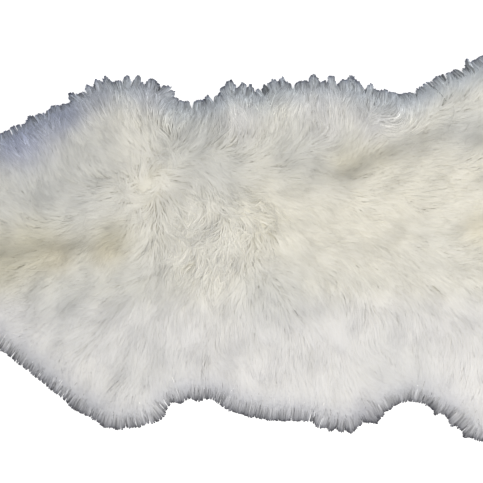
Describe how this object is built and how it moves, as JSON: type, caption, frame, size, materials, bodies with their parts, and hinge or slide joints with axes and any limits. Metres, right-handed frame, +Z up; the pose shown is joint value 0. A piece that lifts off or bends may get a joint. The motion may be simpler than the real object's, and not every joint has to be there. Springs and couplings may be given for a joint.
{
  "type": "sheepskin rug",
  "caption": "Long-wool sheepskin rug lying flat: one pelt with a waisted natural outline, a thick lumpy ivory fleece, pointed locks at the rim and a flat skin side.",
  "frame": {"origin": "on the floor, at the middle of the pelt's bounding box", "axes": "+X along the pelt from neck to rump, +Y across it towards the far flank, +Z up through the wool"},
  "size_m": [1.1184, 0.6486, 0.0583],
  "materials": {
    "wool": "long soft ivory wool, creamier along the back and cooler at the rim",
    "hide": "tanned suede, pale buff"
  },
  "bodies": {
    "root": {"fleece": "wool"}
  },
  "joints": []
}
